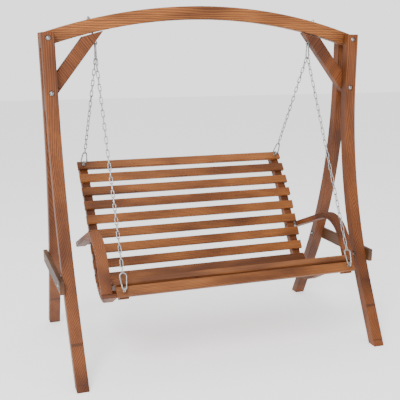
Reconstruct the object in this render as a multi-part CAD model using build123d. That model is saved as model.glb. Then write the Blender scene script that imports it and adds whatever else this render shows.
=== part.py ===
from build123d import *
import math
import os

# Garden swing: two splayed leg frames, an arched top beam and a chain-hung slatted bench.
# Millimetres. X runs along the bench, -Y is the front, +Z is up; z = 0 is the ground.
# The model is laid out with the top beam over y = 0, then moved back by half of the bench's
# overhang, so that the origin is the middle of the whole footprint.

# ---- stand timbers ----
leg_width = 58.0          # along X
leg_depth = 52.0          # along Y, where the leg is upright
leg_centre_x = 776.0
leg_top_z = 1571.0
leg_bend_z = 1350.0       # the leg is upright above this height
leg_bend_radius = 2220.0  # outer face of the bend
leg_splay = 28.35         # degrees from upright at the foot
beam_height = 61.0
beam_thick = 49.0         # along Y, between the front and the rear leg
beam_radius = 2545.0      # top face of the arch
beam_apex_z = 1697.0
brace_depth = 60.0
brace_slope = 51.2        # degrees above level
brace_tip_gap = 10.0      # wedge left between the brace's top end and the beam
crossbar_length = 600.0
crossbar_height = 64.0
crossbar_thick = 22.0
crossbar_centre_z = 440.0
arris = 3.0               # rounding of the sawn edges

# ---- stand fasteners ----
upper_bolt_z = 1546.0
lower_bolt_z = 1303.0
bolt_r = 4.0
hole_gap = 0.05
head_r = 8.0
head_rise = 4.0
washer_r = 10.0
washer_thick = 1.6
nut_flat_r = 6.5
nut_thick = 6.5
recess_r = 14.0
recess_depth = 6.0
stub_length = 5.0

# ---- bench timbers ----
rail_width = 45.0
rail_depth = 42.0
rail_centre_x = 568.5
rail_start = (455.0, 899.0)   # y and z of the rail's top end, on the face under the slats
rail_heading = 224.1          # degrees from +Y towards +Z, going down the back
rail_moves = [
    ("arc", 1440.0, 14.9),    # upper back, leaning away
    ("line", 264.0),          # lower back
    ("arc", 150.0, -86.0),    # hollow between back and seat
    ("line", 312.0),          # seat
    ("arc", 78.0, 97.0),      # front roll
]
slat_length = 1200.0
slat_width = 48.0
slat_thick = 20.0
slat_edge_r = 4.0
back_slats = 9
back_first = 26.0             # distance along the rail of the top slat
back_pitch = 81.5
seat_slats = 6
roll_slats = (1227.5, 1278.0)
arm_inner_x = 605.0
arm_width = 52.0
arm_thick = 28.0
arm_start = (275.0, 506.0)    # y and z of the arm's tail, on its top face
arm_heading = 159.6
arm_moves = [("line", 402.0), ("arc", 200.0, 80.1), ("line", 151.0)]
stretcher_depth = 50.0
stretcher_thick = 18.0
stretcher_front_y = -419.0
stretcher_top_z = 426.0
arm_bolt_yz = (190.0, 520.0)

# ---- hanging gear ----
eye_r = 8.2                   # centre line of an eye bolt's ring
eye_wire_r = 3.3
top_eye_drop = 108.0          # from the beam's top face to the ring's centre
top_eye_x = 553.0
bench_eye_rise = 17.0         # from the slat's face to the ring's centre
hook_wire_r = 3.5
hook_wide_r = 15.5
hook_narrow_r = 9.5
hook_span = 49.5              # between the centres of the two hook bends
contact_gap = 0.1
pivot_gap = 0.3
gate_wire_r = 3.0
gate_stub = 9.0
gate_nose = 6.0
gate_pin_at = 5.5
gate_pin_r = 1.25
gate_pin_gap = 0.05
gate_tongue = 2.4
gate_slot = 2.9
gate_shoulder = 5.6
link_wire_r = 2.0
link_inner_length = 32.4
link_inner_width = 8.6
chain_lean = {"rear": 37.3, "front": -27.3}   # degrees from straight down, on the top hook

screw_r = 2.0
screw_head_r = 4.0
screw_grip = 14.0             # depth of the screw in the slat
screw_gap = 0.02

front_overhang = 18.11        # how far the front slat reaches past the front feet
leg_outer_y = beam_thick / 2 + leg_depth
beam_centre_z = beam_apex_z - beam_radius
sides = {"left": -1, "right": 1}
parts = {}


def walk(start, heading, moves, offset=0.0):
    """Edges of a smooth path of lines and arcs, shifted to the left of travel."""
    edges = []
    x, y, angle = start[0], start[1], math.radians(heading)

    def shifted(px, py, a):
        return (px - offset * math.sin(a), py + offset * math.cos(a))

    for move in moves:
        first = shifted(x, y, angle)
        if move[0] == "line":
            x += move[1] * math.cos(angle)
            y += move[1] * math.sin(angle)
            edges.append(Line(first, shifted(x, y, angle)))
            continue
        radius, turn = move[1], math.radians(move[2])
        side = math.copysign(1.0, turn)
        cx, cy = x - side * radius * math.sin(angle), y + side * radius * math.cos(angle)
        points = []
        for share in (0.5, 1.0):
            a = angle + turn * share
            px, py = cx + side * radius * math.sin(a), cy - side * radius * math.cos(a)
            points.append((px, py, a))
        edges.append(ThreePointArc(first, shifted(*points[0]), shifted(*points[1])))
        x, y, angle = points[1]
    return edges, (x, y, math.degrees(angle))


def place_on(start, heading, moves, distance):
    """Point and heading at a distance along such a path."""
    cut, left = [], distance
    for move in moves:
        length = move[1] if move[0] == "line" else move[1] * math.radians(abs(move[2]))
        if left <= length:
            share = left / length
            cut.append(("line", left) if move[0] == "line" else ("arc", move[1], move[2] * share))
            break
        cut.append(move)
        left -= length
    return walk(start, heading, cut)[1]


def band(start, heading, moves, low, high):
    """Flat face between two shifted copies of a path, square at both ends."""
    near, _ = walk(start, heading, moves, low)
    far, _ = walk(start, heading, moves, high)
    caps = [Line(near[0] @ 0, far[0] @ 0), Line(near[-1] @ 1, far[-1] @ 1)]
    return make_face(near + far + caps)


def board(face, plane, middle, width):
    """A flat outline made into a board of a width, centred on a distance from its plane."""
    return extrude(plane.offset(middle - width / 2) * face, amount=width)


def soften(solid, axis, radius):
    """Round the edges of a board's two broad sides."""
    ends = solid.faces().filter_by(axis)
    low, high = ends.sort_by(axis)[0], ends.sort_by(axis)[-1]
    return fillet(low.edges() + high.edges(), radius)


def rod(radius, low, high):
    return Pos(0, 0, (low + high) / 2) * Cylinder(radius, high - low)


def hexagon(low, high, bore):
    outline = RegularPolygon(nut_flat_r, 6, major_radius=False)
    return Pos(0, 0, low) * extrude(outline, amount=high - low) - rod(bore, low, high)


def ring_plate(low, high, radius, bore):
    return rod(radius, low, high) - rod(bore, low, high)


def dome_bolt(length):
    """Bolt with a domed head: the head's flat underside is at z = 0, its shank runs to -z."""
    sphere_r = (head_r**2 + head_rise**2) / (2 * head_rise)
    dome = Pos(0, 0, head_rise - sphere_r) * Sphere(sphere_r)
    dome = dome & Pos(0, 0, head_rise / 2) * Box(3 * head_r, 3 * head_r, head_rise)
    return dome + rod(bolt_r, -length, 0)


def add(name, *solids):
    parts[name] = Compound(label=name, children=list(solids)) if len(solids) > 1 else solids[0]


def make_leg(side, facing):
    moves = [("line", leg_top_z - leg_bend_z), ("arc", leg_bend_radius, leg_splay), ("line", 900)]
    outline = band((leg_outer_y, leg_top_z), 270, moves, 0, -leg_depth)
    outline = outline & Rectangle(1400, leg_top_z, align=(Align.CENTER, Align.MIN))
    leg = soften(board(outline, Plane.YZ, side * leg_centre_x, leg_width), Axis.X, arris)
    return mirror(leg, about=Plane.XZ) if facing < 0 else leg


def make_beam():
    half_turn = math.degrees(math.asin((leg_centre_x + leg_width) / beam_radius))
    top = (beam_radius * math.sin(math.radians(half_turn)),
           beam_centre_z + beam_radius * math.cos(math.radians(half_turn)))
    outline = band(top, 180 - half_turn, [("arc", beam_radius, 2 * half_turn)], 0, beam_height)
    limit = leg_centre_x + leg_width / 2 - 0.5
    outline = outline & Rectangle(2 * limit, 4000)
    return soften(board(outline, Plane.XZ, 0, beam_thick), Axis.Y, arris)


def make_brace(side):
    slope = math.radians(brace_slope)
    out_x, in_x = leg_centre_x + leg_width / 2 - 2, 529.0
    half = brace_depth / 2 / math.cos(slope)

    def centre_z(x):
        return lower_bolt_z + (leg_centre_x - x) * math.tan(slope)

    def under_beam(x):
        return beam_centre_z + math.sqrt((beam_radius - beam_height) ** 2 - x**2)

    tip = (in_x, under_beam(in_x) - 0.3)
    heel_x = leg_centre_x - (under_beam(600) - brace_tip_gap - half - lower_bolt_z) / math.tan(slope)
    heel = (heel_x, centre_z(heel_x) + half)
    low_x = leg_centre_x - (tip[1] + half - lower_bolt_z) / math.tan(slope)
    corners = [(low_x, tip[1]), heel, (out_x, centre_z(out_x) + half), (out_x, centre_z(out_x) - half)]
    outline = make_face(Polyline(*[(side * x, z) for x, z in corners], close=True))
    return soften(board(outline, Plane.XZ, 0, beam_thick), Axis.Y, arris)


def make_crossbar(side):
    bar = Box(crossbar_thick, crossbar_length, crossbar_height)
    bar = fillet(bar.edges().filter_by(Axis.Y), arris)
    x = side * (leg_centre_x + leg_width / 2 + crossbar_thick / 2)
    return Pos(x, 0, crossbar_centre_z) * bar


def leg_face_y(z):
    """Outer face of a rear leg at a height inside the bend."""
    reach = math.sqrt(leg_bend_radius**2 - (leg_bend_z - z) ** 2)
    return leg_outer_y + leg_bend_radius - reach


crossbar_bolt_y = leg_face_y(crossbar_centre_z) - leg_depth / 2 / math.cos(math.radians(24))
frame_bolts = [
    Plane((side * leg_centre_x, -leg_outer_y, z), x_dir=(1, 0, 0), z_dir=(0, -1, 0))
    for side in sides.values()
    for z in (upper_bolt_z, lower_bolt_z)
]
bar_outer_x = leg_centre_x + leg_width / 2 + crossbar_thick
crossbar_bolts = [
    Plane((side * bar_outer_x, y, crossbar_centre_z), x_dir=(0, 1, 0), z_dir=(side, 0, 0))
    for side in sides.values()
    for y in (-crossbar_bolt_y, crossbar_bolt_y)
]


def make_stand():
    frame_grip = 2 * leg_outer_y
    bar_grip = crossbar_thick + leg_width
    cuts = []
    for plane in frame_bolts:
        cuts.append(plane * rod(bolt_r + hole_gap, -frame_grip - 1, 1))
        cuts.append(plane * rod(recess_r, -recess_depth, 1))
        cuts.append(plane * rod(recess_r, -frame_grip - 1, -frame_grip + recess_depth))
    for plane in crossbar_bolts:
        cuts.append(plane * rod(bolt_r + hole_gap, -bar_grip - 1, 1))
        cuts.append(plane * rod(recess_r, -bar_grip - 1, -bar_grip + recess_depth))
    for plane in top_eyes:
        cuts.append(plane * rod(bolt_r + hole_gap, eye_r, top_eye_drop + 5))
        cuts.append(plane * rod(recess_r, -eye_r, eye_r + eye_wire_r + 1))

    def bored(solid):
        box = solid.bounding_box()
        near = [c for c in cuts if box.overlaps(c.bounding_box())]
        for cut in near:
            solid = solid - cut
        return solid

    add("top_beam", bored(make_beam()))
    for name, side in sides.items():
        add(f"{name}_front_leg", bored(make_leg(side, -1)))
        add(f"{name}_rear_leg", bored(make_leg(side, 1)))
        add(f"{name}_knee_brace", bored(make_brace(side)))
        add(f"{name}_crossbar", bored(make_crossbar(side)))

    seat_low = -recess_depth + washer_thick
    far_seat = -frame_grip + recess_depth
    bolt = Pos(0, 0, seat_low) * dome_bolt(frame_grip - 2)
    add("frame_bolts", *[plane * bolt for plane in frame_bolts])
    near = ring_plate(-recess_depth, seat_low, washer_r, bolt_r + hole_gap)
    far = ring_plate(far_seat - washer_thick, far_seat, washer_r, bolt_r + hole_gap)
    add("frame_washers", *[plane * plate for plane in frame_bolts for plate in (near, far)])
    nut_top = far_seat - washer_thick
    nut = hexagon(nut_top - nut_thick, nut_top, bolt_r + hole_gap)
    add("frame_nuts", *[plane * nut for plane in frame_bolts])

    bar_seat = -bar_grip + recess_depth
    add("crossbar_bolts", *[plane * dome_bolt(bar_grip + 3) for plane in crossbar_bolts])
    plate = ring_plate(bar_seat - washer_thick, bar_seat, washer_r, bolt_r + hole_gap)
    add("crossbar_washers", *[plane * plate for plane in crossbar_bolts])
    nut_top = bar_seat - washer_thick
    nut = hexagon(nut_top - nut_thick, nut_top, bolt_r + hole_gap)
    add("crossbar_nuts", *[plane * nut for plane in crossbar_bolts])

    eye_bolt = Rot(0, 90, 0) * Torus(eye_r, eye_wire_r)
    eye_bolt += rod(bolt_r, eye_r, top_eye_drop + washer_thick + nut_thick + stub_length)
    add("top_eye_bolts", *[plane * eye_bolt for plane in top_eyes])
    low = top_eye_drop + washer_thick
    plate = ring_plate(top_eye_drop, low, washer_r, bolt_r + hole_gap)
    nut = hexagon(low, low + nut_thick, bolt_r + hole_gap)
    add("top_eye_nuts", *[plane * piece for plane in top_eyes for piece in (plate, nut)])


def slat_plane(distance, x=0.0):
    """Plane on the rail's face: local x along the bench, local z out through the slat."""
    y, z, heading = place_on(rail_start, rail_heading, rail_moves, distance)
    a = math.radians(heading)
    return Plane((x, y, z), x_dir=(1, 0, 0), z_dir=(0, math.sin(a), -math.cos(a)))


def slat_lift(distance):
    """A flat slat bridges the hollow of the rail, so it stands a little off its face."""
    start_of_hollow = 375 + 264
    end_of_hollow = start_of_hollow + 150 * math.radians(86)
    if start_of_hollow - slat_width / 2 < distance < end_of_hollow + slat_width / 2:
        return 150 - math.sqrt(150**2 - (slat_width / 2) ** 2) + 0.05
    return 0.0


first_seat = back_first + back_pitch * (back_slats - 1)
seat_pitch = (roll_slats[0] - first_seat) / (seat_slats + 1)
slat_places = [back_first + back_pitch * k for k in range(back_slats)]
slat_places += [first_seat + seat_pitch * (k + 1) for k in range(seat_slats)]
slat_places += list(roll_slats)
eye_places = {"rear": slat_places[0], "front": slat_places[-1]}

beam_eye_r = beam_radius - top_eye_drop
eye_lean = math.asin(top_eye_x / beam_eye_r)
top_eyes = [
    Plane((side * top_eye_x, 0, beam_centre_z + beam_eye_r * math.cos(eye_lean)), x_dir=(0, 1, 0),
          z_dir=(side * math.sin(eye_lean), 0, math.cos(eye_lean)))
    for side in sides.values()
]


def make_slat(distance):
    slat = fillet(Box(slat_length, slat_width, slat_thick).edges().filter_by(Axis.X), slat_edge_r)
    slat = fillet(slat.faces().filter_by(Axis.X).edges(), 1.0)
    return slat_plane(distance) * Pos(0, 0, slat_lift(distance) + slat_thick / 2) * slat


def make_bench():
    screw_places = slat_places[1:-1]
    screw_length = screw_grip + rail_depth

    def screw(distance, gap=0.0):
        lift = slat_lift(distance)
        low = -rail_depth + 1.5
        shank = rod(screw_r + gap, low, lift + screw_grip)
        head = Pos(0, 0, low + 1.25) * Cone(screw_head_r + gap, screw_r + gap, 2.5)
        return shank + head + (rod(screw_head_r + gap, -screw_length - 9, low) if gap else [])

    middle = (stretcher_front_y + stretcher_depth / 2, stretcher_top_z - stretcher_thick / 2)
    stretcher = Box(2 * (arm_inner_x + arm_width), stretcher_depth, stretcher_thick)
    stretcher = Pos(0, *middle) * stretcher
    outline = band(rail_start, rail_heading, rail_moves, 0, rail_depth)
    screws = []
    for name, side in sides.items():
        rail = soften(board(outline, Plane.YZ, side * rail_centre_x, rail_width), Axis.X, arris)
        for distance in screw_places:
            plane = slat_plane(distance, side * rail_centre_x)
            screws.append(plane * screw(distance))
            rail = rail - plane * screw(distance, screw_gap)
        for distance in eye_places.values():
            plane = slat_plane(distance, side * rail_centre_x)
            rail = rail - plane * rod(bolt_r + hole_gap, -90, 5)
            rail = rail - plane * rod(washer_r - 1, -90, -rail_depth + 1.5)
        bolt_line = Pos(0, *arm_bolt_yz) * Rot(0, 90, 0) * rod(bolt_r + hole_gap, -800, 800)
        add(f"{name}_seat_rail", rail - bolt_line - stretcher)

    for number, distance in enumerate(slat_places, start=1):
        slat = make_slat(distance)
        for side in sides.values():
            plane = slat_plane(distance, side * rail_centre_x)
            if distance in screw_places:
                slat = slat - plane * screw(distance, screw_gap)
            else:
                slat = slat - plane * rod(bolt_r + hole_gap, -1, 60)
        add(f"slat_{number:02d}", slat)
    add("slat_screws", *screws)

    for distance in screw_places[-2:]:
        for side in sides.values():
            stretcher = stretcher - slat_plane(distance, side * rail_centre_x) * screw(distance, screw_gap)
    foot_screws = []
    for name, side in sides.items():
        arm = board(band(arm_start, arm_heading, arm_moves, 0, arm_thick), Plane.YZ,
                    side * (arm_inner_x + arm_width / 2), arm_width)
        floor = Pos(0, 0, stretcher_top_z - 200) * Box(2000, 2000, 400)
        arm = soften(arm - floor, Axis.X, arris)
        arm = arm - bolt_line
        foot = Plane((side * (arm_inner_x + arm_width / 2), middle[0], stretcher_top_z - stretcher_thick))
        hold = foot * (rod(screw_r, 1.5, 40) + Pos(0, 0, 1.25 + 1.5) * Cone(screw_head_r, screw_r, 2.5))
        room = foot * (rod(screw_r + screw_gap, -1, 40.5) + rod(screw_head_r + screw_gap, -1, 1.5))
        room += foot * Pos(0, 0, 2.75) * Cone(screw_head_r + screw_gap, screw_r + screw_gap, 2.5)
        foot_screws.append(hold)
        add(f"{name}_arm", arm - room)
        stretcher = stretcher - room
    add("arm_stretcher", stretcher)
    add("arm_foot_screws", *foot_screws)

    spacers, bolts, nuts = [], [], []
    for side in sides.values():
        outer_x = arm_inner_x + arm_width
        rail_outer_x = rail_centre_x + rail_width / 2
        plane = Plane((side * outer_x, *arm_bolt_yz), x_dir=(0, 1, 0), z_dir=(side, 0, 0))
        grip = arm_width + arm_inner_x - rail_outer_x + rail_width
        bolts.append(plane * dome_bolt(grip + washer_thick + nut_thick + 2))
        spacers.append(plane * ring_plate(-(outer_x - rail_outer_x), -arm_width, 14, bolt_r + hole_gap))
        nuts.append(plane * ring_plate(-grip - washer_thick, -grip, washer_r - 3, bolt_r + hole_gap))
        nuts.append(plane * hexagon(-grip - washer_thick - nut_thick, -grip - washer_thick,
                                    bolt_r + hole_gap))
    eye_bolts = []
    for side in sides.values():
        for distance in eye_places.values():
            plane = slat_plane(distance, side * rail_centre_x)
            centre = slat_thick + bench_eye_rise
            seat = -rail_depth + 1.5
            tail = seat - washer_thick - nut_thick
            eye = Pos(0, 0, centre) * Rot(0, 90, 0) * Torus(eye_r, eye_wire_r)
            eye += rod(bolt_r, tail - 3, centre - eye_r)
            eye += rod(washer_r - 3, slat_thick + slat_lift(distance), slat_thick + 2)
            eye_bolts.append(plane * eye)
            nuts.append(plane * ring_plate(seat - washer_thick, seat, washer_r - 3, bolt_r + hole_gap))
            nuts.append(plane * hexagon(tail, seat - washer_thick, bolt_r + hole_gap))
    add("arm_bolts", *bolts)
    add("arm_spacers", *spacers)
    add("bench_eye_bolts", *eye_bolts)
    add("bench_nuts", *nuts)


hook_lean = math.asin((hook_wide_r - hook_narrow_r) / hook_span)
hook_m = (-math.sin(hook_lean), math.cos(hook_lean))
hook_t = (math.cos(hook_lean), math.sin(hook_lean))


def along_gate(distance):
    """Point on the gate's line, from the narrow bend towards the wide one."""
    return (hook_narrow_r * hook_m[0] + distance * hook_t[0],
            hook_narrow_r * hook_m[1] + distance * hook_t[1])


gate_line = hook_span * math.cos(hook_lean)
gate_angle = math.degrees(hook_lean)


def make_hook():
    """Snap hook in its own plane: narrow bend about the origin, wide bend along +x."""
    start, low = along_gate(gate_stub), along_gate(0)
    high, nose = along_gate(gate_line), along_gate(gate_line - gate_nose)
    path = Wire([
        Line(start, low),
        ThreePointArc(low, (-hook_narrow_r, 0), (low[0], -low[1])),
        Line((low[0], -low[1]), (high[0], -high[1])),
        ThreePointArc((high[0], -high[1]), (hook_span + hook_wide_r, 0), high),
        Line(high, nose),
    ])
    section = Plane(path @ 0, z_dir=path % 0) * Circle(hook_wire_r)
    hook = sweep(section, path=path)
    at_gate = Pos(*along_gate(0)) * Rot(0, 0, gate_angle)
    slot = at_gate * Pos(gate_pin_at + 10 - 3.6, 0, 0) * Box(20, 9, gate_slot)
    pin = at_gate * Pos(gate_pin_at, 0, 0) * rod(gate_pin_r, -5, 5)
    return hook - slot - pin


def make_gate():
    at_gate = Pos(*along_gate(0)) * Rot(0, 0, gate_angle)
    far = gate_line - gate_nose - 0.4
    bar = at_gate * Rot(0, 90, 0) * rod(gate_wire_r, gate_pin_at + gate_shoulder, far)
    tongue = at_gate * Pos(gate_pin_at, 0, 0) * rod(gate_wire_r, -gate_tongue / 2, gate_tongue / 2)
    reach = gate_shoulder + 2
    tongue += at_gate * Pos(gate_pin_at + reach / 2, 0, 0) * Box(reach, 4.4, gate_tongue)
    bore = at_gate * Pos(gate_pin_at, 0, 0) * rod(gate_pin_r + gate_pin_gap, -5, 5)
    return bar + tongue - bore


def make_pin():
    at_gate = Pos(*along_gate(0)) * Rot(0, 0, gate_angle)
    return at_gate * Pos(gate_pin_at, 0, 0) * rod(gate_pin_r, -hook_wire_r + 0.4, hook_wire_r - 0.4)


def make_link():
    """One chain link: long axis along z, flat in the xz plane."""
    bend = link_inner_width / 2 + link_wire_r
    half = link_inner_length / 2 + link_wire_r - bend
    path = Wire([
        Line((bend, -half), (bend, half)),
        ThreePointArc((bend, half), (0, half + bend), (-bend, half)),
        Line((-bend, half), (-bend, -half)),
        ThreePointArc((-bend, -half), (0, -half - bend), (bend, -half)),
    ])
    path = Plane.XZ * path
    return sweep(Plane(path @ 0, z_dir=path % 0) * Circle(link_wire_r), path=path)


ring_to_wire = hook_wire_r + eye_wire_r
hook_seat = eye_r - ring_to_wire - contact_gap
wide_hold = hook_wide_r - hook_wire_r - link_wire_r - contact_gap
chain_seat = hook_seat + hook_narrow_r + hook_span + wide_hold
pivot_z = top_eyes[0].origin.Z - eye_r
top_narrow_z = pivot_z + ring_to_wire + pivot_gap - hook_narrow_r
top_wide_z = top_narrow_z - hook_span


def hook_frames():
    """Planes of the six snap hooks, with the ends of the chains that they hold."""
    frames, chains = {}, {}
    for name, side in sides.items():
        frames[f"{name}_top"] = Plane((side * top_eye_x, 0, top_narrow_z), x_dir=(0, 0, -1),
                                      z_dir=(1, 0, 0))
        for place, distance in eye_places.items():
            lean = math.radians(chain_lean[place])
            top = Vector(side * top_eye_x, wide_hold * math.sin(lean),
                         top_wide_z - wide_hold * math.cos(lean))
            plane = slat_plane(distance, side * rail_centre_x)
            eye = plane.origin + plane.z_dir * (slat_thick + bench_eye_rise)
            up = (top - eye).normalized()
            across = (Vector(side, 0, 0) - up * up.dot(Vector(side, 0, 0))).normalized()
            if place == "front":
                origin, axis = eye + up * (hook_seat + hook_narrow_r), up
            else:
                origin, axis = eye + up * (hook_seat + hook_wide_r + hook_span), -up
            frames[f"{name}_{place}"] = Plane(origin, x_dir=axis, z_dir=across.cross(axis))
            chains[f"{name}_{place}"] = (top, eye + up * chain_seat)
    return frames, chains


def make_chain(top, bottom):
    link = make_link()
    half = link_inner_length / 2 + link_wire_r
    run = bottom - top
    down = run.normalized()
    span = run.length - 2 * half
    steps = math.ceil(span / (link_inner_length - 0.03))
    pitch = span / steps
    quarter_turns = 90.0 if steps % 2 else 90.0 + 90.0 / steps
    links = []
    for k in range(steps + 1):
        centre = top + down * (half + pitch * k)
        across = (Vector(1, 0, 0) - down * down.X).normalized()
        frame = Plane(centre, x_dir=across, z_dir=down)
        links.append(frame * Rot(0, 0, quarter_turns * k) * link)
    return links, pitch


def make_hanging():
    frames, chains = hook_frames()
    add("snap_hooks", *[plane * make_hook() for plane in frames.values()])
    add("hook_pins", *[plane * make_pin() for plane in frames.values()])
    for name, plane in frames.items():
        add(f"{name}_gate", plane * make_gate())
    for name, (top, bottom) in chains.items():
        links, pitch = make_chain(top, bottom)
        print(name, "chain", len(links), "links, pitch", round(pitch, 2))
        add(f"{name}_chain", *links)


make_stand()
make_bench()
make_hanging()

os.makedirs("parts", exist_ok=True)
for name, solid in parts.items():
    export_step(Pos(0, front_overhang / 2, 0) * solid, f"parts/{name}.step")
print(len(parts), "parts")
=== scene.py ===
import math

import bpy
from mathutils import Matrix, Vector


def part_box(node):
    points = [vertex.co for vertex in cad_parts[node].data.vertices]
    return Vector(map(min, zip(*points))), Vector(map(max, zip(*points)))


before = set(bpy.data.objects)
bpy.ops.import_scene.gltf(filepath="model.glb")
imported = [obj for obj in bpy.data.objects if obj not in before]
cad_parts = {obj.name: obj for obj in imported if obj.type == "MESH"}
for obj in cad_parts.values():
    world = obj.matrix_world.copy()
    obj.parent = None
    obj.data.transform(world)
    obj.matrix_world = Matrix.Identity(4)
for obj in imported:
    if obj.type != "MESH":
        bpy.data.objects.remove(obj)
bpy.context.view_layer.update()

# ---- places taken from the frame ----
beam_low, beam_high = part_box("top_beam")
middle_y = (beam_low[1] + beam_high[1]) / 2
BEAM_RADIUS = 2.545
BEAM_CENTRE_Z = beam_high[2] - BEAM_RADIUS
LEG_BEND_RADIUS = 2.22
LEG_BEND_Z = 1.35
LEG_FACE = 0.0765          # outer face of an upright leg, from the middle of the beam
BEAM_LAMELLA = 0.0203      # thickness of one glued layer
LEG_LAMELLA = 0.0173
GLUE_LINE_SHARE = 0.022    # half of a glue line, as a share of a layer
BRACE_SLOPE = 51.2         # degrees above level

# ---- camera, solved for a 36 mm sensor and a square picture ----
CAMERA_X, CAMERA_Y, CAMERA_Z = -1.2119, -3.5021, 1.493   # y from the middle of the beam
CAMERA_PITCH, CAMERA_YAW = 0.2882, 0.3537                # radians, down and towards +X
CAMERA_LENS = 64.71
CAMERA_SHIFT = (-0.0557, 0.1583)

# ---- studio ----
SKY_LIGHT, SKY_SEEN = 0.8, 1.9
FLOOR_GLOW = 0.9
KEY_POWER, TOP_POWER = 260, 60

# ---- stain colours, linear; the grey pair is the frame wood with painted shade ----
SLAT_PALE, SLAT_DARK = (0.310, 0.107, 0.025), (0.080, 0.020, 0.0045)
FRAME_PALE, FRAME_DARK = (0.205, 0.062, 0.015), (0.050, 0.012, 0.003)
# greyer, darker copy of the frame wood: painted cool shade for the crossbars
PAINTED_SHADE_GREY_PALE, PAINTED_SHADE_GREY_DARK = (0.130, 0.056, 0.022), (0.045, 0.018, 0.008)
LINE_DARK = (0.06, 0.020, 0.008)
RING_SPACING = 0.0062      # between growth rings, across the grain


class Graph:
    """Small helper that adds shader nodes and joins them."""

    def __init__(self, name):
        self.material = bpy.data.materials.new(name)
        self.material.use_nodes = True
        self.nodes = self.material.node_tree.nodes
        self.links = self.material.node_tree.links
        self.shader = self.nodes["Principled BSDF"]

    def add(self, kind, **values):
        node = self.nodes.new(kind)
        for key, value in values.items():
            setattr(node, key, value)
        return node

    def join(self, source, target):
        self.links.new(source, target)

    def maths(self, operation, first, second=None):
        node = self.add("ShaderNodeMath", operation=operation)
        for socket, value in zip(node.inputs, (first, second)):
            if value is None:
                continue
            if isinstance(value, (int, float)):
                socket.default_value = value
            else:
                self.join(value, socket)
        return node.outputs[0]

    def ramp(self, source, stops):
        node = self.add("ShaderNodeValToRGB")
        ramp = node.color_ramp
        while len(ramp.elements) < len(stops):
            ramp.elements.new(0.5)
        for element, (place, colour) in zip(ramp.elements, stops):
            element.position = place
            element.color = (*colour, 1)
        self.join(source, node.inputs[0])
        return node.outputs[0]

    def blend(self, kind, share, first, second):
        node = self.add("ShaderNodeMix", data_type="RGBA", blend_type=kind)
        for socket, value in zip((node.inputs[0], node.inputs[6], node.inputs[7]), (share, first, second)):
            if isinstance(value, (int, float)):
                socket.default_value = value
            elif isinstance(value, tuple):
                socket.default_value = (*value, 1)
            else:
                self.join(value, socket)
        return node.outputs[2]


def grain_vector(graph, turn, shift):
    """Object coordinates turned so that local x follows the grain, moved by a shift."""
    place = graph.add("ShaderNodeTexCoord").outputs["Object"]
    mapping = graph.add("ShaderNodeMapping")
    mapping.inputs["Location"].default_value = shift
    mapping.inputs["Rotation"].default_value = turn
    graph.join(place, mapping.inputs["Vector"])
    return mapping.outputs[0]


def stretched(graph, vector, scale):
    node = graph.add("ShaderNodeVectorMath", operation="MULTIPLY")
    graph.join(vector, node.inputs[0])
    node.inputs[1].default_value = scale
    return node.outputs[0]


def noise(graph, vector, scale, detail=4.0, roughness=0.6):
    node = graph.add("ShaderNodeTexNoise")
    graph.join(vector, node.inputs["Vector"])
    node.inputs["Scale"].default_value = scale
    node.inputs["Detail"].default_value = detail
    node.inputs["Roughness"].default_value = roughness
    return node.outputs[0]


def lamella_line(graph, centre, upper_z, pitch):
    """1 on the glue lines of a bent laminated timber, 0 elsewhere.

    centre is the axis that the bend runs across, (its middle, how far out the bend's centre lies), and
    the height of that centre. upper_z is true where the timber runs straight up above that height.
    """
    place = graph.add("ShaderNodeTexCoord").outputs["Object"]
    parts = graph.add("ShaderNodeSeparateXYZ")
    graph.join(place, parts.inputs[0])
    across, middle, z0 = centre
    side = parts.outputs["X"] if across == "X" else parts.outputs["Y"]
    reach = graph.maths("SUBTRACT", graph.maths("ABSOLUTE", graph.maths("SUBTRACT", side, middle[0])),
                        middle[1])
    height = graph.maths("SUBTRACT", parts.outputs["Z"], z0)
    if upper_z:
        height = graph.maths("MINIMUM", height, 0.0)
    radius = graph.maths("SQRT", graph.maths("ADD", graph.maths("MULTIPLY", reach, reach),
                                             graph.maths("MULTIPLY", height, height)))
    share = graph.maths("FRACT", graph.maths("DIVIDE", radius, pitch))
    off = graph.maths("ABSOLUTE", graph.maths("SUBTRACT", share, 0.5))
    return graph.maths("LESS_THAN", off, GLUE_LINE_SHARE)


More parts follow.
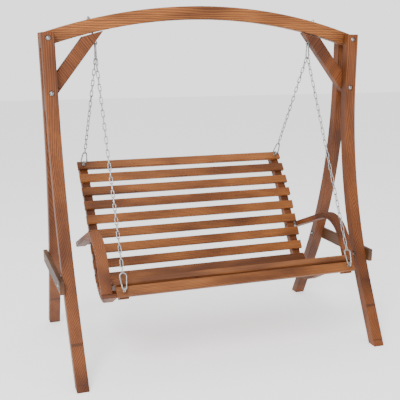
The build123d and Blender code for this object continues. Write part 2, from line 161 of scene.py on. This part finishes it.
def wood(name, pale, dark, turn=(0, 0, 0), seed=0.0, layers=None, tone=1.0):
    """Stained softwood: growth rings, fine fibres, knots and a satin finish."""
    graph = Graph(name)
    vector = grain_vector(graph, turn, (seed * 1.37, seed * 0.713, seed * 0.291))
    wander = noise(graph, stretched(graph, vector, (1.1, 10.0, 10.0)), 1.0, 2.0)
    across = graph.add("ShaderNodeVectorMath", operation="DOT_PRODUCT")
    graph.join(vector, across.inputs[0])
    across.inputs[1].default_value = (0.0, 0.8, 0.6)
    phase = graph.maths("ADD", graph.maths("MULTIPLY", across.outputs["Value"], math.tau / RING_SPACING),
                        graph.maths("MULTIPLY", wander, 34.0))
    rings = graph.maths("ADD", graph.maths("MULTIPLY", graph.maths("SINE", phase), 0.5), 0.5)
    fibres = noise(graph, stretched(graph, vector, (6.0, 330.0, 330.0)), 1.0, 5.0, 0.7)
    patch = noise(graph, stretched(graph, vector, (1.6, 5.0, 5.0)), 1.3, 2.0)
    mixed = graph.maths("ADD", graph.maths("MULTIPLY", rings, 0.26),
                        graph.maths("MULTIPLY", fibres, 0.74))
    pale = tuple(c * tone for c in pale)
    dark = tuple(c * tone for c in dark)
    colour = graph.ramp(mixed, [(0.25, dark), (0.68, pale)])
    patches = graph.ramp(patch, [(0.36, (0.55, 0.48, 0.42)), (0.62, (1.3, 1.3, 1.25))])
    colour = graph.blend("MULTIPLY", 1.0, colour, patches)

    cells = graph.add("ShaderNodeTexVoronoi")
    graph.join(stretched(graph, vector, (5.0, 8.0, 8.0)), cells.inputs["Vector"])
    cells.inputs["Scale"].default_value = 1.0
    knot = graph.ramp(cells.outputs["Distance"], [(0.03, (0.8, 0.8, 0.8)), (0.075, (0, 0, 0))])
    colour = graph.blend("MIX", knot, colour, LINE_DARK)
    if layers:
        line = lamella_line(graph, *layers)
        colour = graph.blend("MIX", graph.maths("MULTIPLY", line, 0.75), colour, LINE_DARK)
    graph.join(colour, graph.shader.inputs["Base Color"])

    rough = graph.maths("ADD", graph.maths("MULTIPLY", fibres, 0.25), 0.42)
    graph.join(rough, graph.shader.inputs["Roughness"])
    bump = graph.add("ShaderNodeBump")
    bump.inputs["Strength"].default_value = 0.35
    bump.inputs["Distance"].default_value = 0.0006
    graph.join(mixed, bump.inputs["Height"])
    graph.join(bump.outputs[0], graph.shader.inputs["Normal"])
    graph.shader.inputs["Specular IOR Level"].default_value = 0.35
    return graph.material


def zinc(name, tint):
    """Zinc plating: cloudy bright grey with dull blooms."""
    graph = Graph(name)
    vector = grain_vector(graph, (0, 0, 0), (0, 0, 0))
    cloud = noise(graph, vector, 90.0, 5.0)
    pale, dull = tuple(0.50 * t for t in tint), tuple(0.22 * t for t in tint)
    graph.join(graph.ramp(cloud, [(0.3, dull), (0.65, pale)]), graph.shader.inputs["Base Color"])
    graph.join(graph.maths("ADD", graph.maths("MULTIPLY", cloud, 0.3), 0.2), graph.shader.inputs["Roughness"])
    bump = graph.add("ShaderNodeBump")
    bump.inputs["Strength"].default_value = 0.15
    bump.inputs["Distance"].default_value = 0.0003
    graph.join(noise(graph, vector, 700.0), bump.inputs["Height"])
    graph.join(bump.outputs[0], graph.shader.inputs["Normal"])
    graph.shader.inputs["Metallic"].default_value = 0.9
    return graph.material


ALONG_X = (0, 0, 0)
ALONG_Y = (0, 0, math.radians(-90))
ALONG_Z = (0, math.radians(90), 0)


def brace_turn(side):
    return (0, math.radians(BRACE_SLOPE) * side, 0)


def finish_of(node, number):
    """Material for a CAD node, by what it is made of and which way its grain runs."""
    side = -1 if node.startswith("left") else 1
    if node.startswith("slat_") and node != "slat_screws":
        tone = 0.88 + 0.24 * ((number * 7) % 11) / 10
        return wood(f"wood_{node}", SLAT_PALE, SLAT_DARK, ALONG_X, number, tone=tone)
    if node == "top_beam":
        layers = (("X", (0.0, 0.0), BEAM_CENTRE_Z), False, BEAM_LAMELLA)
        return wood("wood_beam", SLAT_PALE, SLAT_DARK, ALONG_X, number, layers)
    if node.endswith("_leg"):
        layers = (("Y", (middle_y, LEG_FACE + LEG_BEND_RADIUS), LEG_BEND_Z), True, LEG_LAMELLA)
        return wood(f"wood_{node}", FRAME_PALE, FRAME_DARK, ALONG_Z, number, layers)
    if node.endswith("_knee_brace"):
        return wood(f"wood_{node}", FRAME_PALE, FRAME_DARK, brace_turn(side), number)
    if node.endswith("_crossbar"):
        # crossbars take the grey wood, whose greyer, darker colour is painted shade
        return wood(f"wood_{node}", PAINTED_SHADE_GREY_PALE, PAINTED_SHADE_GREY_DARK, ALONG_Y, number)
    if node.endswith(("_seat_rail", "_arm")):
        return wood(f"wood_{node}", FRAME_PALE, FRAME_DARK, ALONG_Y, number, tone=1.05)
    if node == "arm_stretcher":
        return wood("wood_stretcher", FRAME_PALE, FRAME_DARK, ALONG_X, number)
    return CHAIN_ZINC if node.endswith("_chain") else FASTENER_ZINC


def dress_frame():
    for number, (node, piece) in enumerate(sorted(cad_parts.items()), start=1):
        material = finish_of(node, number)
        for slot in piece.material_slots:
            slot.material = material


def make_floor():
    bpy.ops.mesh.primitive_plane_add(size=40, location=(0, 0, 0))
    floor = bpy.context.object
    floor.name = "floor"
    graph = Graph("floor_paint")
    cloud = noise(graph, grain_vector(graph, (0, 0, 0), (0, 0, 0)), 3.0)
    graph.join(graph.ramp(cloud, [(0.3, (0.92, 0.92, 0.92)), (0.7, (0.95, 0.95, 0.95))]),
               graph.shader.inputs["Base Color"])
    graph.shader.inputs["Roughness"].default_value = 0.9
    graph.shader.inputs["Emission Color"].default_value = (1, 1, 1, 1)
    graph.shader.inputs["Emission Strength"].default_value = FLOOR_GLOW
    floor.data.materials.append(graph.material)


def area_light(name, place, turn, size, power):
    data = bpy.data.lights.new(name, "AREA")
    data.size = size
    data.energy = power
    lamp = bpy.data.objects.new(name, data)
    lamp.location = place
    lamp.rotation_euler = [math.radians(angle) for angle in turn]
    bpy.context.scene.collection.objects.link(lamp)


def make_light():
    world = bpy.data.worlds.new("studio")
    bpy.context.scene.world = world
    world.use_nodes = True
    world.node_tree.nodes["Background"].inputs[0].default_value = (1, 1, 1, 1)
    nodes, links = world.node_tree.nodes, world.node_tree.links
    seen = nodes.new("ShaderNodeLightPath").outputs["Is Camera Ray"]
    strength = nodes.new("ShaderNodeMapRange")
    strength.inputs["To Min"].default_value = SKY_LIGHT
    strength.inputs["To Max"].default_value = SKY_SEEN
    links.new(seen, strength.inputs["Value"])
    links.new(strength.outputs[0], nodes["Background"].inputs[1])
    area_light("key", (-2.6, -3.6, 4.2), (42, 0, -35), 2.0, KEY_POWER)
    area_light("top", (0.0, 0.4, 4.5), (0, 0, 0), 4.0, TOP_POWER)


def make_camera():
    data = bpy.data.cameras.new("camera")
    data.sensor_width = 36.0
    data.lens = CAMERA_LENS
    data.shift_x, data.shift_y = CAMERA_SHIFT
    camera = bpy.data.objects.new("camera", data)
    camera.location = (CAMERA_X, CAMERA_Y + middle_y, CAMERA_Z)
    camera.rotation_euler = (math.radians(90) - CAMERA_PITCH, 0, -CAMERA_YAW)
    bpy.context.scene.collection.objects.link(camera)
    bpy.context.scene.camera = camera


CHAIN_ZINC = zinc("chain_zinc", (1.0, 1.0, 1.02))
FASTENER_ZINC = zinc("fastener_zinc", (1.0, 0.99, 0.97))
make_camera()
dress_frame()
make_floor()
make_light()
